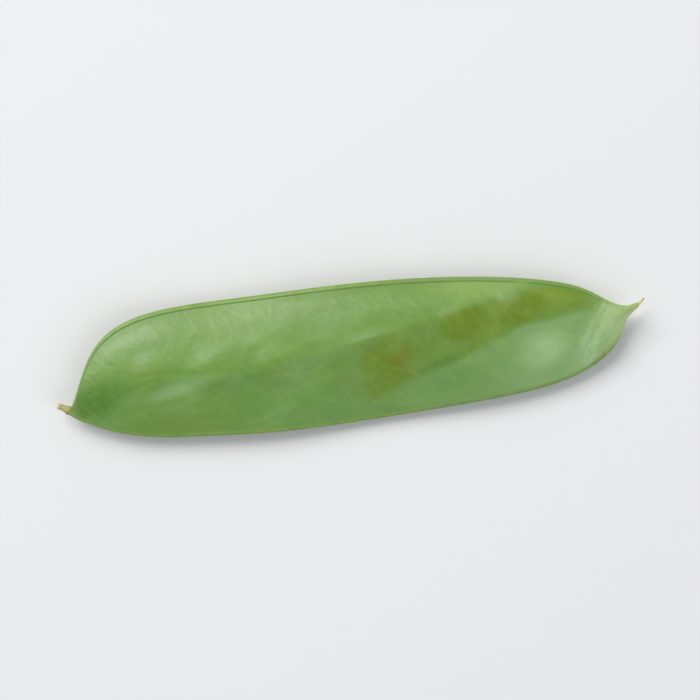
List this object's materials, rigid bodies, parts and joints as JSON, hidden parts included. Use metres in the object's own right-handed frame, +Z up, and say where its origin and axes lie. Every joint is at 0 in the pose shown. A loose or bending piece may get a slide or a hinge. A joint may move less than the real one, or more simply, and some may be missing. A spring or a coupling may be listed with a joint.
{
  "type": "snow pea pod",
  "caption": "Flat green snow pea pod as picked, lying on one valve, with rimmed sutures, low seed swellings, a snapped stem stub and a hooked beak ending in a withered style.",
  "frame": {"origin": "middle of the underside of the object's box, on the surface that the pod lies on", "axes": "+X along the pod from its stem end to its beak, +Y across the pod towards the seed-bearing (ventral) suture, +Z up through the pod's thickness"},
  "size_m": [0.09, 0.0224, 0.0051],
  "materials": {
    "pod_skin": "satin waxy plant skin, mid green with olive patches and a faint pale bloom",
    "stub_bark": "dry, pale brown, fibrous at the snapped end",
    "style_straw": "dry, straw to brown"
  },
  "bodies": {
    "root": {"pod": "pod_skin", "stem_stub": "stub_bark", "dried_style": "style_straw"}
  },
  "joints": []
}
